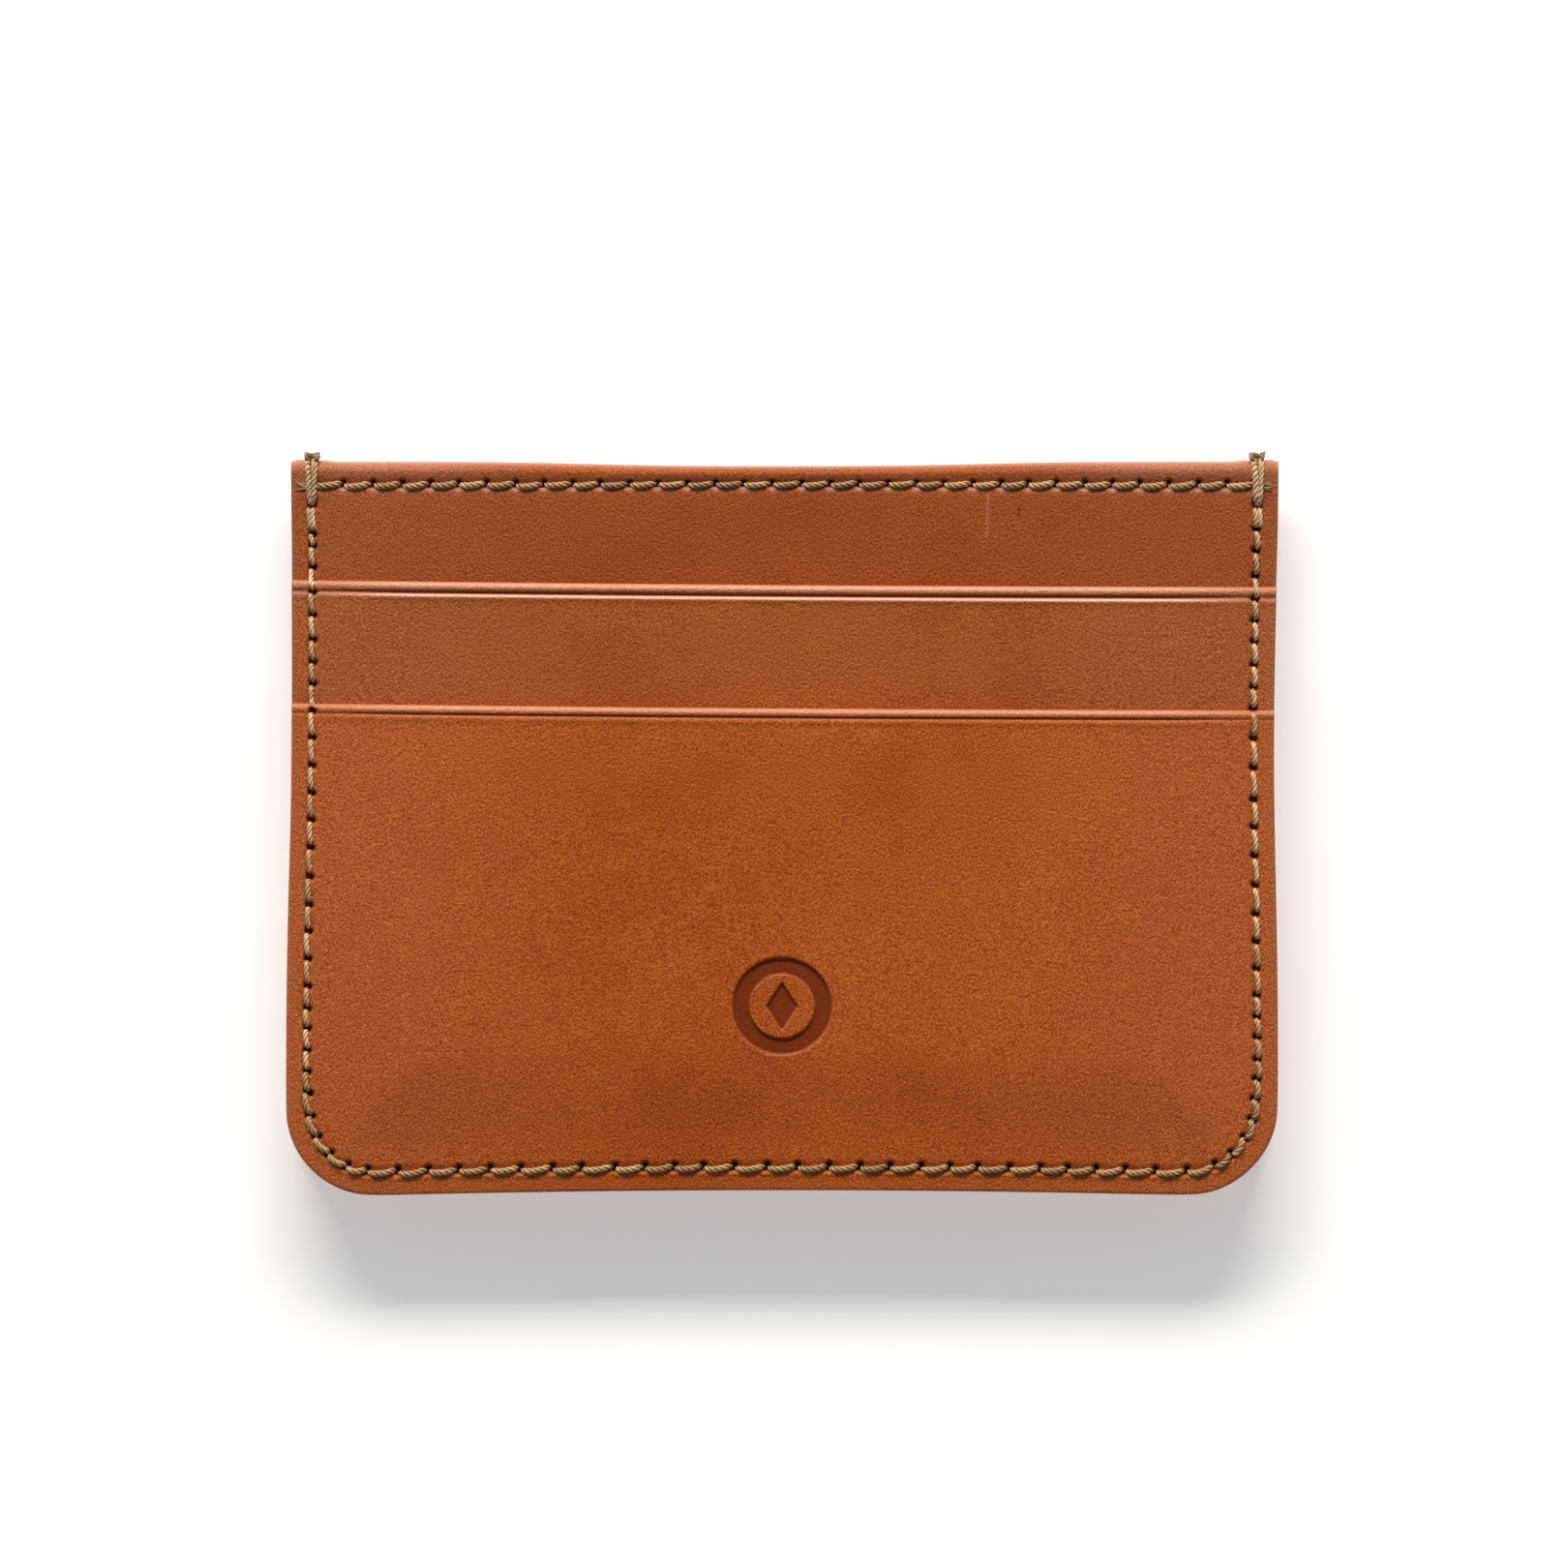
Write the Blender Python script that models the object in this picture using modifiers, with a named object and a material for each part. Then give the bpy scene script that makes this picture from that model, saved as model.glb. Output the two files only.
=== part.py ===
"""Leather card holder lying flat, front face up.

Two mirrored halves are sewn together round the sides and the bottom, which leaves a centre
pocket open at the top.  Each half is a lined inner panel with a turned top hem and two card
pockets laid over it.  X is the width, Y runs up towards the pocket mouths, Z is the thickness.
The origin is the middle of the footprint, on the plane that the lower back pocket rests on.
"""
import math

import bmesh
import bpy
from mathutils import Vector

# Outline of the sewn holder, in metres
WIDTH = 0.100
HEIGHT = 0.074
CORNER_RADIUS = 0.0085
CORNER_STEPS = 7
SHARPEST_CORNER = 0.0015

# How far the thread stands over the top edge, which is part of the footprint
TACK_STAND = 0.0008
TOP = (HEIGHT - TACK_STAND) / 2
BOTTOM = TOP - HEIGHT

# Pocket mouths and the seam that stops a card in the upper pocket
UPPER_MOUTH = TOP - 0.01245
LOWER_MOUTH = TOP - 0.0249
UPPER_FLOOR = UPPER_MOUTH - 0.046
HEM_DEPTH = 0.006
LINING_DROP = HEM_DEPTH + 0.0003

# Thicknesses and gaps
LINING = 0.0003
PANEL = 0.0008
UPPER_LEATHER = 0.0007
LOWER_LEATHER = 0.0008
CENTRE_HALF_GAP = 0.0002
GLUE_GAP = 0.0001
SLOT_RISE = 0.0004

# Heights above the middle plane of the holder, for the half that faces up
LINING_BACK = CENTRE_HALF_GAP
PANEL_BACK = LINING_BACK + LINING + GLUE_GAP
PANEL_FACE = PANEL_BACK + PANEL
UPPER_BACK = PANEL_FACE + GLUE_GAP
UPPER_FACE = UPPER_BACK + UPPER_LEATHER
LOWER_BACK = UPPER_FACE + GLUE_GAP
LOWER_FACE = LOWER_BACK + LOWER_LEATHER
HEM_BACK = CENTRE_HALF_GAP
UPPER_RISE = SLOT_RISE
LOWER_RISE = 2 * SLOT_RISE
MID_PLANE = LOWER_FACE + LOWER_RISE

# The pockets stand away from the seam over this margin and slope
SEAM_MARGIN = 0.0036
SLOPE = 0.008

# Threads
SEAM_INSET = 0.0023
HEM_INSET = 0.0024
THREAD_RADIUS = 0.0004
BOBBIN_RADIUS = 0.00025
GROOVE_CLEARANCE = 0.0001
THREAD_RAISE = 0.0001
THREAD_END_GAP = 0.0003
TACK_LENGTH = 0.0052
TACK_STEPS = 3

# Edge rounding
EDGE_ROUND = 0.0002
HEM_ROUND = 0.00045

# Points closer than this count as the same point
TOUCH = 1e-6

OBJECT_NAME = "card_holder"
FRONT, REAR = 1, -1
SIDE_NAMES = {FRONT: "front", REAR: "rear"}


def clear_scene():
    for item in list(bpy.data.objects):
        bpy.data.objects.remove(item, do_unlink=True)


def new_collection(name):
    collection = bpy.data.collections.new(name)
    bpy.context.scene.collection.children.link(collection)
    return collection


def new_material(name, colour, roughness):
    material = bpy.data.materials.new(name)
    material.use_nodes = True
    shader = material.node_tree.nodes["Principled BSDF"]
    shader.inputs["Base Color"].default_value = (*colour, 1.0)
    shader.inputs["Roughness"].default_value = roughness
    shader.inputs["Metallic"].default_value = 0.0
    material.diffuse_color = (*colour, 1.0)
    return material


def leather_material(name):
    return new_material(name, (0.36, 0.085, 0.022), 0.5)


def lining_material(name):
    return new_material(name, (0.12, 0.07, 0.04), 0.85)


def thread_material(name):
    return new_material(name, (0.24, 0.13, 0.06), 0.75)


def add_object(name, mesh, collection, material=None):
    item = bpy.data.objects.new(name, mesh)
    item.location = (0.0, 0.0, MID_PLANE)
    if material:
        mesh.materials.append(material)
    collection.objects.link(item)
    return item


def arc(centre, radius, start, end, steps):
    """Points along an arc, both ends included; angles in degrees."""
    points = []
    for step in range(steps + 1):
        angle = math.radians(start + (end - start) * step / steps)
        points.append((centre[0] + radius * math.cos(angle), centre[1] + radius * math.sin(angle)))
    return points


def outline_ring(bm, height, top, inset=0.0, floor=BOTTOM):
    """The holder's outline, drawn in by inset, with its bottom at floor and its top at top."""
    radius = max(CORNER_RADIUS - inset, SHARPEST_CORNER)
    half_width = WIDTH / 2 - inset
    centre_x = half_width - radius
    centre_y = floor + radius
    left = arc((-centre_x, centre_y), radius, 180, 270, CORNER_STEPS)
    right = arc((centre_x, centre_y), radius, 270, 360, CORNER_STEPS)
    points = [(-half_width, top)] + left + right + [(half_width, top)]
    return [bm.verts.new((x, y, height)) for x, y in points]


def to_side(bm, side):
    """Turns the half that faces up into its mirror image for the back of the holder."""
    if side == REAR:
        bmesh.ops.scale(bm, vec=(1, 1, -1), verts=bm.verts)
        bmesh.ops.reverse_faces(bm, faces=bm.faces)


def finish_mesh(bm, name, side):
    to_side(bm, side)
    mesh = bpy.data.meshes.new(name)
    bm.to_mesh(mesh)
    bm.free()
    return mesh


def add_solidify(item, thickness):
    modifier = item.modifiers.new("thickness", "SOLIDIFY")
    modifier.thickness = thickness
    modifier.offset = 1.0
    modifier.use_even_offset = True


def add_bevel(item, width):
    modifier = item.modifiers.new("edges", "BEVEL")
    modifier.width = width
    modifier.segments = 2
    modifier.limit_method = "ANGLE"
    modifier.angle_limit = math.radians(50)


def add_cut(item, cutter):
    modifier = item.modifiers.new("groove_" + cutter.name, "BOOLEAN")
    modifier.operation = "DIFFERENCE"
    modifier.solver = "EXACT"
    modifier.object = cutter


def make_pocket(name, side, mouth, floor, back, leather, rise, collection):
    """A pocket: a flat margin where it is sewn, sloping up to a raised middle, open at the mouth."""
    bm = bmesh.new()
    slope_inset = SEAM_MARGIN + SLOPE
    edge = outline_ring(bm, back, mouth)
    margin = outline_ring(bm, back, mouth, SEAM_MARGIN, floor)
    middle = outline_ring(bm, back + rise, mouth, slope_inset, floor + SLOPE)
    for outer, inner in ((edge, margin), (margin, middle)):
        for index in range(len(outer) - 1):
            bm.faces.new((outer[index], outer[index + 1], inner[index + 1], inner[index]))
    bm.faces.new(middle)
    item = add_object(name, finish_mesh(bm, name, side), collection, leather_material(name))
    add_solidify(item, leather)
    add_bevel(item, EDGE_ROUND)
    return item


def make_inner_panel(name, side, collection):
    """The panel that carries the pockets; its top is folded down behind itself as a hem."""
    bm = bmesh.new()
    bm.faces.new(outline_ring(bm, PANEL_FACE, TOP))
    bmesh.ops.bisect_plane(
        bm, geom=bm.verts[:] + bm.edges[:] + bm.faces[:], dist=TOUCH,
        plane_co=(0, TOP - HEM_DEPTH, 0), plane_no=(0, 1, 0),
    )
    plate = bmesh.ops.extrude_face_region(bm, geom=bm.faces[:])
    back_verts = [piece for piece in plate["geom"] if isinstance(piece, bmesh.types.BMVert)]
    bmesh.ops.translate(bm, vec=(0, 0, -PANEL), verts=back_verts)
    hem_face = max(
        (piece for piece in plate["geom"] if isinstance(piece, bmesh.types.BMFace)),
        key=lambda candidate: candidate.calc_center_median().y,
    )
    hem = bmesh.ops.extrude_face_region(bm, geom=[hem_face])
    hem_verts = [piece for piece in hem["geom"] if isinstance(piece, bmesh.types.BMVert)]
    bmesh.ops.translate(bm, vec=(0, 0, HEM_BACK - PANEL_BACK), verts=hem_verts)
    bmesh.ops.delete(bm, geom=[hem_face], context="FACES_ONLY")
    bmesh.ops.recalc_face_normals(bm, faces=bm.faces)
    fold_edges = [
        edge for edge in bm.edges
        if all(
            abs(vert.co.y - TOP) < TOUCH
            and min(abs(vert.co.z - PANEL_FACE), abs(vert.co.z - HEM_BACK)) < TOUCH
            for vert in edge.verts
        )
    ]
    bmesh.ops.bevel(
        bm, geom=fold_edges, offset=HEM_ROUND, segments=3, profile=0.5, affect="EDGES"
    )
    item = add_object(name, finish_mesh(bm, name, side), collection, leather_material(name))
    return item


def make_lining(name, side, collection):
    bm = bmesh.new()
    bm.faces.new(outline_ring(bm, LINING_BACK, TOP - LINING_DROP))
    item = add_object(name, finish_mesh(bm, name, side), collection, lining_material(name))
    add_solidify(item, LINING)
    return item


def smooth_route(points, steps):
    """A smooth curve through every point, as steps short straight runs between neighbours."""
    padded = [points[0]] + points + [points[-1]]
    route = []
    for index in range(1, len(padded) - 2):
        before, start, end, after = padded[index - 1:index + 3]
        for step in range(steps):
            t = step / steps
            route.append(0.5 * (
                2 * start
                + (end - before) * t
                + (2 * before - 5 * start + 4 * end - after) * t ** 2
                + (3 * start - before - 3 * end + after) * t ** 3
            ))
    return route + [points[-1]]


def make_tube(name, side, route, radius, collection, material=None):
    """A thread along a route, as a closed mesh with its caps joined."""
    curve = bpy.data.curves.new(name, "CURVE")
    curve.dimensions = "3D"
    curve.fill_mode = "FULL"
    curve.bevel_depth = radius
    curve.bevel_resolution = 2
    curve.use_fill_caps = True
    spline = curve.splines.new("POLY")
    spline.points.add(len(route) - 1)
    for point, place in zip(spline.points, route):
        point.co = (place.x, place.y, side * place.z, 1.0)
    guide = bpy.data.objects.new(name + "_route", curve)
    guide.location = (0.0, 0.0, MID_PLANE)
    collection.objects.link(guide)
    bpy.context.view_layer.update()
    evaluated = guide.evaluated_get(bpy.context.evaluated_depsgraph_get())
    mesh = bpy.data.meshes.new_from_object(evaluated)
    mesh.name = name
    matrix = guide.matrix_world.copy()
    bpy.data.objects.remove(guide, do_unlink=True)
    bm = bmesh.new()
    bm.from_mesh(mesh)
    bmesh.ops.remove_doubles(bm, verts=bm.verts, dist=TOUCH)
    bmesh.ops.recalc_face_normals(bm, faces=bm.faces)
    bm.to_mesh(mesh)
    bm.free()
    mesh.shade_smooth()
    item = add_object(name, mesh, collection, material)
    item.matrix_world = matrix
    return item


def stretched(route, extra):
    """The same route with both ends carried on by extra, so a groove is longer than its thread."""
    first = route[0] + (route[0] - route[1]).normalized() * extra
    last = route[-1] + (route[-1] - route[-2]).normalized() * extra
    return [first] + route[1:-1] + [last]


def make_thread(name, side, route, radius, end_gap, collections, leathers):
    """A thread and the groove that it is pulled into, cut from each leather it crosses."""
    parts, cutters = collections
    thread = make_tube(name, side, route, radius, parts, thread_material(name))
    groove = make_tube(
        name + "_groove", side, stretched(route, end_gap), radius + GROOVE_CLEARANCE, cutters
    )
    groove.hide_render = True
    groove.display_type = "WIRE"
    for leather in leathers:
        add_cut(leather, groove)
    return thread


def perimeter_route():
    """Down the left seam, round the bottom corners and up the right seam, over both mouths."""
    side_x = WIDTH / 2 - SEAM_INSET
    start = TOP - TACK_LENGTH - THREAD_END_GAP - 2 * THREAD_RADIUS
    step_run = 3 * THREAD_RADIUS
    lift = THREAD_RAISE
    left = [
        Vector((-side_x, start, PANEL_FACE + lift)),
        Vector((-side_x, UPPER_MOUTH + step_run, PANEL_FACE + lift)),
        Vector((-side_x, UPPER_MOUTH, UPPER_FACE + lift)),
        Vector((-side_x, LOWER_MOUTH + step_run, UPPER_FACE + lift)),
        Vector((-side_x, LOWER_MOUTH, LOWER_FACE + lift)),
    ]
    centre_x = WIDTH / 2 - CORNER_RADIUS
    centre_y = BOTTOM + CORNER_RADIUS
    radius = CORNER_RADIUS - SEAM_INSET
    corner = arc((-centre_x, centre_y), radius, 180, 270, CORNER_STEPS)
    left += [Vector((x, y, LOWER_FACE + lift)) for x, y in corner]
    right = [Vector((-point.x, point.y, point.z)) for point in reversed(left)]
    return left + right


def hem_route(height):
    reach = WIDTH / 2 - THREAD_END_GAP
    y = TOP - HEM_INSET
    return [Vector((-reach, y, height)), Vector((0, y, height)), Vector((reach, y, height))]


def pocket_base_route(height):
    reach = WIDTH / 2 - SEAM_MARGIN - SEAM_INSET
    y = UPPER_FLOOR
    return [Vector((-reach, y, height)), Vector((0, y, height)), Vector((reach, y, height))]


def tack_route(x):
    """Over the top edge from the front seam to the back seam, riding over both hem threads."""
    level = PANEL_FACE + THREAD_RAISE
    over_hem = level + 2 * THREAD_RADIUS + GROOVE_CLEARANCE
    crest = TACK_STAND - THREAD_RADIUS
    front = [
        Vector((x, TOP - TACK_LENGTH, level)),
        Vector((x, TOP - HEM_INSET - 3 * THREAD_RADIUS, level)),
        Vector((x, TOP - HEM_INSET, over_hem)),
        Vector((x, TOP - 2 * THREAD_RADIUS, level + THREAD_RADIUS)),
        Vector((x, TOP + crest / 2, PANEL_FACE * 0.7)),
    ]
    middle = [Vector((x, TOP + crest, 0))]
    rear = [Vector((point.x, point.y, -point.z)) for point in reversed(front)]
    return smooth_route(front + middle + rear, TACK_STEPS)


def make_half(side, collections):
    """The lining, inner panel, two pockets and row threads of one half; returns the leathers."""
    parts = collections[0]
    prefix = SIDE_NAMES[side] + "_"
    make_lining(prefix + "lining", side, parts)
    panel = make_inner_panel(prefix + "inner_panel", side, parts)
    upper = make_pocket(
        prefix + "upper_pocket", side, UPPER_MOUTH, UPPER_FLOOR, UPPER_BACK, UPPER_LEATHER,
        UPPER_RISE, parts,
    )
    lower = make_pocket(
        prefix + "lower_pocket", side, LOWER_MOUTH, BOTTOM + SEAM_MARGIN, LOWER_BACK, LOWER_LEATHER,
        LOWER_RISE, parts,
    )
    through = 4 * THREAD_END_GAP
    make_thread(
        prefix + "hem_thread", side, hem_route(PANEL_FACE + THREAD_RAISE), THREAD_RADIUS,
        through, collections, [panel],
    )
    make_thread(
        prefix + "hem_bobbin_thread", side, hem_route(HEM_BACK + BOBBIN_RADIUS - THREAD_RAISE / 2),
        BOBBIN_RADIUS, through, collections, [panel],
    )
    make_thread(
        prefix + "pocket_base_thread", side, pocket_base_route(UPPER_FACE), BOBBIN_RADIUS,
        THREAD_END_GAP, collections, [upper],
    )
    make_thread(
        prefix + "pocket_base_bobbin_thread", side,
        pocket_base_route(PANEL_BACK + BOBBIN_RADIUS + THREAD_RAISE / 2), BOBBIN_RADIUS,
        THREAD_END_GAP, collections, [panel],
    )
    make_thread(
        "perimeter_thread_" + SIDE_NAMES[side], side, perimeter_route(), THREAD_RADIUS,
        THREAD_END_GAP, collections, [panel, upper, lower],
    )
    return panel


def main():
    clear_scene()
    collections = (new_collection(OBJECT_NAME), new_collection("cutters"))
    panels = [make_half(side, collections) for side in (FRONT, REAR)]
    tack_x = WIDTH / 2 - SEAM_INSET
    for name, x in (("left_edge_tack", -tack_x), ("right_edge_tack", tack_x)):
        make_thread(name, FRONT, tack_route(x), THREAD_RADIUS, THREAD_END_GAP, collections, panels)


main()
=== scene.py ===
"""Looks for the leather card holder: fine leather sheets, twisted stitches and procedural materials.

Lengths are in millimetres in the model's own frame, with heights counted from the middle plane of
the holder, until a mesh is made.  The back half is the front half mirrored.
"""
import math
from collections import namedtuple

import bpy
import numpy as np
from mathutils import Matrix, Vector
from mathutils.geometry import delaunay_2d_cdt


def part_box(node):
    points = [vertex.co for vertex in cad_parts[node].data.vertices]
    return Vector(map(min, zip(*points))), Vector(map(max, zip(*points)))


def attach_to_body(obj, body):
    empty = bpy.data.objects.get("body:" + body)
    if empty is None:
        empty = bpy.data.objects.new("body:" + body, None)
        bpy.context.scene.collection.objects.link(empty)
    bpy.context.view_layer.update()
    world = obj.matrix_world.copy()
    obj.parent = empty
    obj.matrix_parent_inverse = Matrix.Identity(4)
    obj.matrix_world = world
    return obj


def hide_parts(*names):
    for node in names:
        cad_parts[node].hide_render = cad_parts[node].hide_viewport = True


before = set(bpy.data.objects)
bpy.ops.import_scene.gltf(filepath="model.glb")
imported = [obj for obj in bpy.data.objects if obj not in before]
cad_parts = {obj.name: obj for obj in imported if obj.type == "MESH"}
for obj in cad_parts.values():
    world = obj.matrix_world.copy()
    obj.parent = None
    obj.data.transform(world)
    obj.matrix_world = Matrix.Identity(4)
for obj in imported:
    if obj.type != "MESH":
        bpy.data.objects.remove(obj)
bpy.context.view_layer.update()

MM = 0.001
FRONT, REAR = 1, -1
LEFT, RIGHT = -1, 1

# ------------------------ driving dimensions, from the frame


def box_mm(node):
    """The lowest and highest corners of a CAD node, in millimetres."""
    low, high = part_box(node)
    return np.array(low) / MM, np.array(high) / MM


panel_low, panel_high = box_mm("front_inner_panel")
upper_low, upper_high = box_mm("front_upper_pocket")
lower_low, lower_high = box_mm("front_lower_pocket")
lining_low, lining_high = box_mm("front_lining")
hem_low, hem_high = box_mm("front_hem_thread")
base_low, base_high = box_mm("front_pocket_base_thread")

MID = lower_high[2] / 2
HALF_WIDTH = panel_high[0]
TOP = panel_high[1]
BOTTOM = panel_low[1]
UPPER_MOUTH = upper_high[1]
LOWER_MOUTH = lower_high[1]
HEM_ROW = (hem_low[1] + hem_high[1]) / 2
BASE_ROW = (base_low[1] + base_high[1]) / 2
THREAD_RADIUS = (hem_high[2] - hem_low[2]) / 2

# What the boxes don't give
CORNER = 8.5
SEAM_INSET = 2.3
HEM_BAND = 6.0
UPPER_LEATHER = 0.7
LOWER_LEATHER = 0.8

# Glued faces close up on the real holder, so each leather fills part of the gap behind it
CLOSE_UP = 0.07
CLOTH_GAP = 0.03
LINING_THICKNESS = lining_high[2] - lining_low[2]
LINING_BACK = lining_low[2] - MID
PANEL_BACK = LINING_BACK + LINING_THICKNESS + CLOTH_GAP
PANEL_FACE = panel_high[2] - MID
UPPER_BACK = upper_low[2] - MID
UPPER_FACE = UPPER_BACK + UPPER_LEATHER
LOWER_BACK = lower_low[2] - MID
LOWER_FACE = LOWER_BACK + LOWER_LEATHER
UPPER_RISE = upper_high[2] - MID - UPPER_FACE
LOWER_RISE = lower_high[2] - MID - LOWER_FACE

# The cloth stops short of the sewn edges, where the two inner panels come this near the middle plane
LINING_INSET = 1.15
MEETING = 0.03

# How far below the top edge each tack, its doubled stitch and the short stitch after it end
TACK_ENDS = {LEFT: (4.4, 7.7, 8.9), RIGHT: (4.3, 6.7, 8.8)}
TACK_X = HALF_WIDTH - SEAM_INSET

# Stitch lengths: up the sides, round the corners and a little way up, along the bottom, in the hem
SIDE_PITCH_TOP = 2.3
SIDE_PITCH_LOW = 2.85
CORNER_PITCH = 2.15
CORNER_PITCH_RISE = 11.0
BOTTOM_PITCH = 3.05
HEM_PITCH = 2.92
BASE_PITCH = 3.0
SEAM_JITTER, HEM_JITTER = 0.05, 0.03
HEM_REACH = TACK_X - 0.1
BASE_REACH = HALF_WIDTH - 5.9

CORNER_X = HALF_WIDTH - CORNER
CORNER_Y = BOTTOM + CORNER
SEAM_CORNER = CORNER - SEAM_INSET
ARC_LENGTH = SEAM_CORNER * math.pi / 2


def smoothstep(value):
    """A soft step from 0 to 1 while value goes from 0 to 1."""
    value = np.clip(value, 0.0, 1.0)
    return value * value * (3 - 2 * value)


def bump(value, width):
    """A bell, 1 where value is 0."""
    return np.exp(-((value / width) ** 2))


# ------------------------ the seam line's own coordinates


def seam_point(s, d):
    """The point at distance s along the seam line from the bottom middle, d in from the edge."""
    s, d = np.broadcast_arrays(np.asarray(s, float), np.asarray(d, float))
    side, run = np.sign(s), np.abs(s)
    angle = np.clip((run - CORNER_X) / SEAM_CORNER, 0, math.pi / 2)
    radius = CORNER - d
    x = np.minimum(run, CORNER_X) + radius * np.sin(angle)
    y = CORNER_Y - radius * np.cos(angle) + np.maximum(run - CORNER_X - ARC_LENGTH, 0)
    return side * x, y


def seam_coords(x, y):
    """Distance along the seam line and distance in from the edge, for points near the seam."""
    ax = np.abs(x)
    side = np.where(x < 0, -1.0, 1.0)
    angle = np.arctan2(ax - CORNER_X, CORNER_Y - y)
    in_corner = (ax > CORNER_X) & (y < CORNER_Y)
    on_side = y >= CORNER_Y
    low_run = y - BOTTOM
    s = np.where(
        in_corner, CORNER_X + SEAM_CORNER * angle,
        np.where(on_side, CORNER_X + ARC_LENGTH + y - CORNER_Y, ax),
    )
    d = np.where(
        in_corner, CORNER - np.hypot(ax - CORNER_X, CORNER_Y - y),
        np.where(on_side & (HALF_WIDTH - ax < low_run), HALF_WIDTH - ax, low_run),
    )
    s = np.where(on_side & (HALF_WIDTH - ax >= low_run), ax, s)
    return side * s, d


def side_run(y):
    """How far along the seam line a height on the straight side is."""
    return CORNER_X + ARC_LENGTH + y - CORNER_Y


# ------------------------ stitch holes


def hole_row(start, pitch_of, end, seed, jitter):
    """Holes from start to end, with the pitch that pitch_of gives at each place."""
    random = np.random.default_rng(seed)
    holes = [start]
    while holes[-1] < end - 0.5 * pitch_of(end):
        holes.append(holes[-1] + pitch_of(holes[-1]) * (1 + jitter * random.standard_normal()))
    holes = np.array(holes)
    return start + (holes - start) * (end - start) / (holes[-1] - start)


def side_pitch(run):
    """The hole spacing that the seam has at each place, from the bottom middle up."""
    if run < CORNER_X:
        return BOTTOM_PITCH
    if run < CORNER_X + ARC_LENGTH + CORNER_PITCH_RISE:
        return CORNER_PITCH
    return SIDE_PITCH_LOW if run < side_run(LOWER_MOUTH) else SIDE_PITCH_TOP


def bottom_share(run):
    """1 along the bottom row and round the corners, 0 up the sides, where the thread is finer."""
    return 1 - smoothstep((run - CORNER_X - ARC_LENGTH) / 5)


def perimeter_holes(seed):
    """Holes of the whole seam: the tacks' doubled stitches, then single ones down to the middle."""
    halves = []
    for edge in (LEFT, RIGHT):
        tack, doubled, short = (side_run(TOP - drop) for drop in TACK_ENDS[edge])
        row = hole_row(BOTTOM_PITCH / 2, side_pitch, short, seed + edge, SEAM_JITTER)
        halves.append(edge * np.concatenate([row, [doubled, tack]]))
    return np.concatenate([halves[0][::-1], halves[1]])


def even_row(reach, pitch, seed):
    """Holes of a straight row, evenly pitched, from -reach to reach."""
    return hole_row(-reach, lambda place: pitch, reach, seed, HEM_JITTER)


def nearest_offset(place, holes):
    """Signed distance from the nearest hole."""
    index = np.clip(np.searchsorted(holes, place), 1, len(holes) - 1)
    before, after = place - holes[index - 1], place - holes[index]
    return np.where(np.abs(before) < np.abs(after), before, after)


# One stitch hole: a slanted slit, and the leather that the needle pushed up on both sides of it
HOLE_SLANT = math.radians(20)
HOLE_DEPTH = 0.6
HOLE_ALONG, HOLE_ACROSS = 0.3, 0.28
LIP_OUTSIDE, LIP_INSIDE = 0.12, 0.05


def stitch_relief(along, across, holes, channel, size, inward):
    """Height of the leather round a row of stitches, and how much of each point lies in a hole."""
    offset = nearest_offset(along, holes)
    from_hole = across - inward
    a = offset * math.cos(HOLE_SLANT) - from_hole * math.sin(HOLE_SLANT)
    b = offset * math.sin(HOLE_SLANT) + from_hole * math.cos(HOLE_SLANT)
    a = np.abs(a) / (HOLE_ALONG * size)
    b = np.abs(b) / (HOLE_ACROSS * size + inward)
    in_row = (along > holes[0] - 0.6) & (along < holes[-1] + 0.6)
    hole = np.where(in_row, np.exp(-(a ** 4 + b ** 4)), 0.0)
    near = bump(offset, 0.6) * in_row
    lip = LIP_OUTSIDE * near * bump(across + 0.6 * size, 0.22)
    lip = lip + LIP_INSIDE * near * bump(across - 0.85 * size, 0.2)
    groove = -channel * bump(across, 0.48) - 0.4 * channel * bump(across, 1.2)
    groove = groove * in_row * (1 + 0.35 * near)
    return groove + lip - HOLE_DEPTH * hole, hole


# ------------------------ surfaces


def edge_drop(distance, radius, height=None):
    """How far a rounded edge has dropped at a distance in from it."""
    height = radius if height is None else height
    inside = np.clip(1 - distance / radius, 0, 1)
    return height * (1 - np.sqrt(np.maximum(1 - inside * inside, 0)))


def crease_ends(x):
    """How deep the creasing iron pressed: less near the side edges."""
    return 0.3 + 0.7 * smoothstep((HALF_WIDTH - 1.5 - np.abs(x)) / 11)


def crease_profile(inset, x, place, depth, width):
    """A turned and creased pocket mouth: a round bead, a pressed line, and a soft shoulder."""
    ends = crease_ends(x)
    line = -depth * ends * bump(inset - place, width)
    shoulder = 0.4 * depth * ends * bump(inset - place - 0.45, 0.27)
    bead = 0.05 * bump(inset - 0.5, 0.35)
    return line + shoulder + bead


WAVE_LENGTHS = (34, 23, 15, 9, 6)
WAVE_HEIGHT = 0.035


def waves(x, y, seed):
    """A gentle unevenness, as soft leather has."""
    random = np.random.default_rng(seed)
    total = np.zeros_like(x)
    for length in WAVE_LENGTHS:
        angle, phase = random.uniform(0, 2 * math.pi, 2)
        along = x * math.cos(angle) + y * math.sin(angle)
        total += (length / WAVE_LENGTHS[0]) ** 0.9 * np.sin(2 * math.pi * along / length + phase)
    return WAVE_HEIGHT * total / 2.4


def raised(d, rise):
    """How far a pocket's face stands off, flat in the middle and falling towards the seam."""
    return rise * smoothstep((d - 3.0) / 12.0)


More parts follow.
